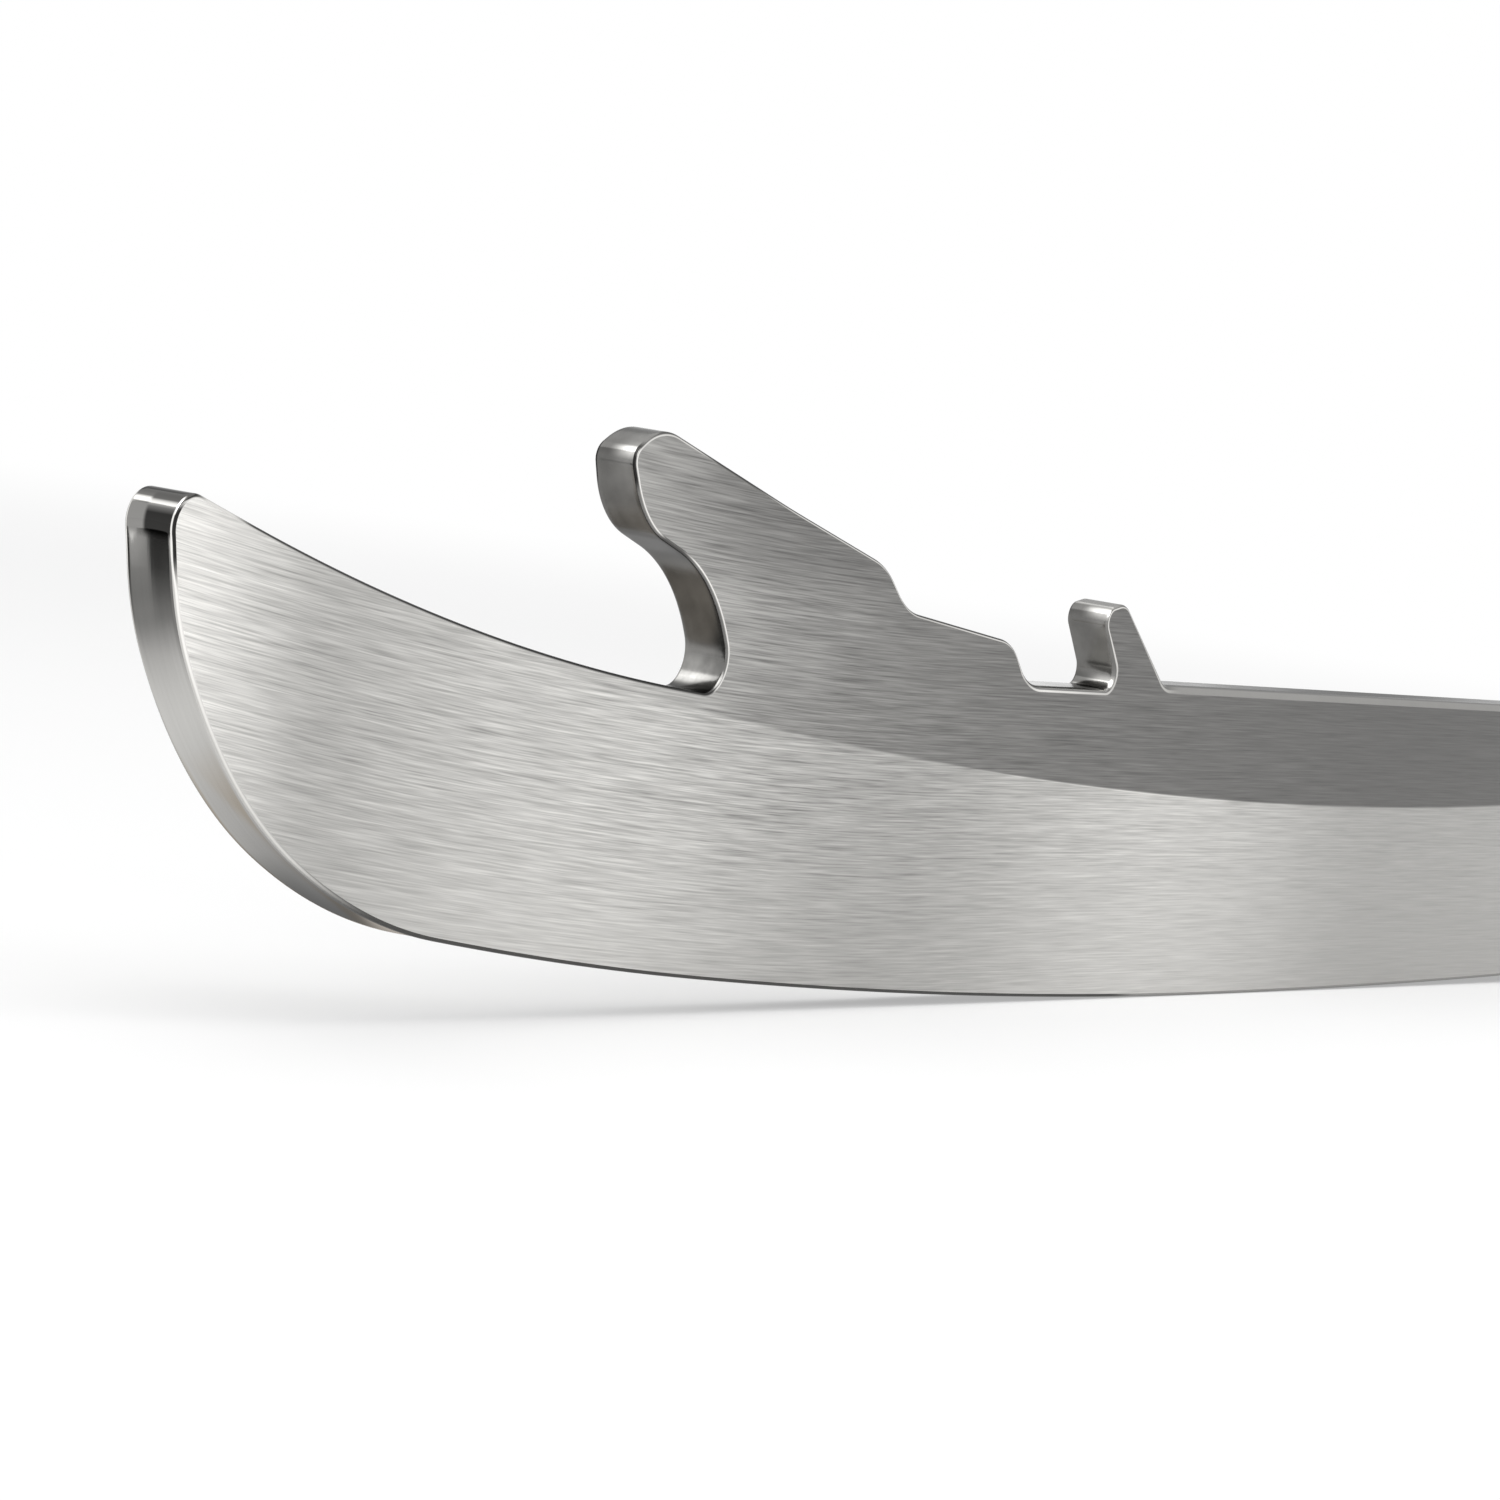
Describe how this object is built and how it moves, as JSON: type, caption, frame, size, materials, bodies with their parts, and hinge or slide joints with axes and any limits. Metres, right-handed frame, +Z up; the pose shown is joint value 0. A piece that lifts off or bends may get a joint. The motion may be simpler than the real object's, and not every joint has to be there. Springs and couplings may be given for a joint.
{
  "type": "ice hockey skate runner",
  "caption": "Flat stainless steel skate runner with a rockered, hollow-ground edge, an upswept toe, a forward hook, a small locating tooth and a rear latch post.",
  "frame": {"origin": "bottom centre of the bounding box: mid length, mid thickness, at the height of the lowest point of the running edge", "axes": "+X along the runner from the toe to the heel, +Y across the thickness, +Z up, from the running edge to the hooks"},
  "size_m": [0.254, 0.003, 0.0321],
  "materials": {
    "steel": "stainless steel, brushed along its length, with ground edge faces and a fine broken edge"
  },
  "bodies": {
    "root": {"runner": "steel"}
  },
  "joints": []
}
